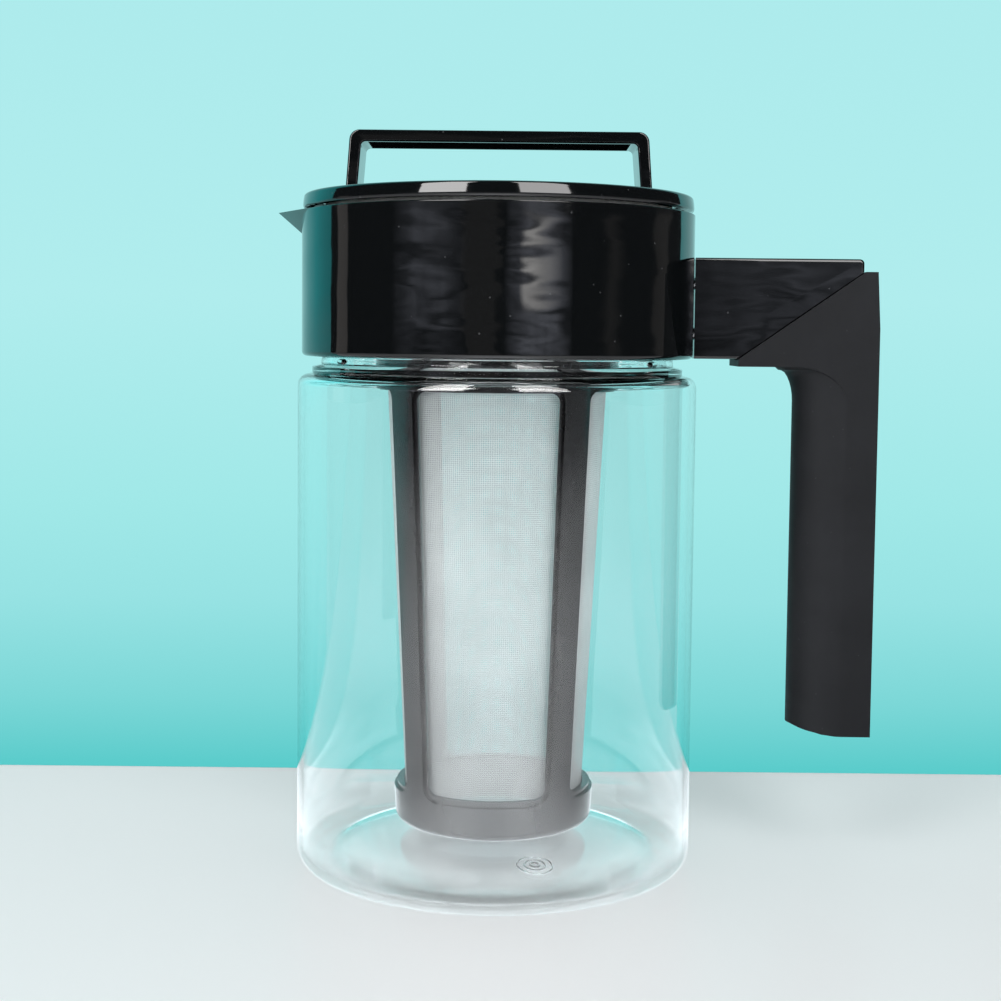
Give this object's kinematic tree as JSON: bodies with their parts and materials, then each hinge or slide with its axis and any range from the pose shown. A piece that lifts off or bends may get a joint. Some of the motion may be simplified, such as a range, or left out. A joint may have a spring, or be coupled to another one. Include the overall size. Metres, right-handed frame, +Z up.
{
  "type": "cold brew coffee maker",
  "caption": "Clear cylindrical carafe with a pouring collar and side handle; a plug lid with a low strap handle carries a long mesh basket inside.",
  "frame": {"origin": "on the surface it stands on, at the middle of the bounding box; the carafe's axis is 20.5 mm to the -X side of it", "axes": "+Z up along the carafe, +X towards the side handle, -X towards the spout"},
  "size_m": [0.1558, 0.104, 0.1905],
  "materials": {
    "clear_body": "clear glossy plastic",
    "gloss_black": "high gloss moulded",
    "soft_grip": "matte soft touch",
    "silicone": "milky silicone",
    "cage_plastic": "semi-gloss moulded",
    "fine_mesh": "fine woven filter mesh",
    "screw_steel": "plain stainless"
  },
  "bodies": {
    "carafe": {"carafe": "clear_body", "collar": "gloss_black", "neck_gasket": "silicone", "handle_core": "gloss_black", "handle_grip": "soft_grip", "handle_screw_lower": "screw_steel", "handle_screw_upper": "screw_steel"},
    "lid_seal": {"lid_gasket": "silicone"},
    "lid": {"lid_cap": "gloss_black", "lid_plug": "gloss_black", "lid_top_gasket": "silicone", "lid_handle": "gloss_black", "lid_handle_screw_left": "screw_steel", "lid_handle_screw_right": "screw_steel"},
    "filter_seal": {"filter_gasket": "silicone"},
    "filter": {"filter_frame": "cage_plastic", "filter_mesh": "fine_mesh", "filter_floor_mesh": "fine_mesh"}
  },
  "joints": [
    {"name": "lid_lift", "type": "slide", "parent": "carafe", "child": "lid_seal", "axis": [0, 0, 1], "range_m": [0, 0.17]},
    {"name": "lid_turn", "type": "hinge", "parent": "lid_seal", "child": "lid", "pos_m": [-0.0205, 0, 0.17], "axis": [0, 0, 1], "continuous": true},
    {"name": "filter_drop", "type": "slide", "parent": "lid", "child": "filter_seal", "axis": [0, 0, -1], "range_m": [0, 0.002]},
    {"name": "filter_turn", "type": "hinge", "parent": "filter_seal", "child": "filter", "pos_m": [-0.0205, 0, 0.15], "axis": [0, 0, 1], "range_deg": [-180, 0]}
  ],
  "couplings": [
    {"joint": "filter_drop", "follows": "filter_turn", "m_per_rad": -0.00063662}
  ]
}
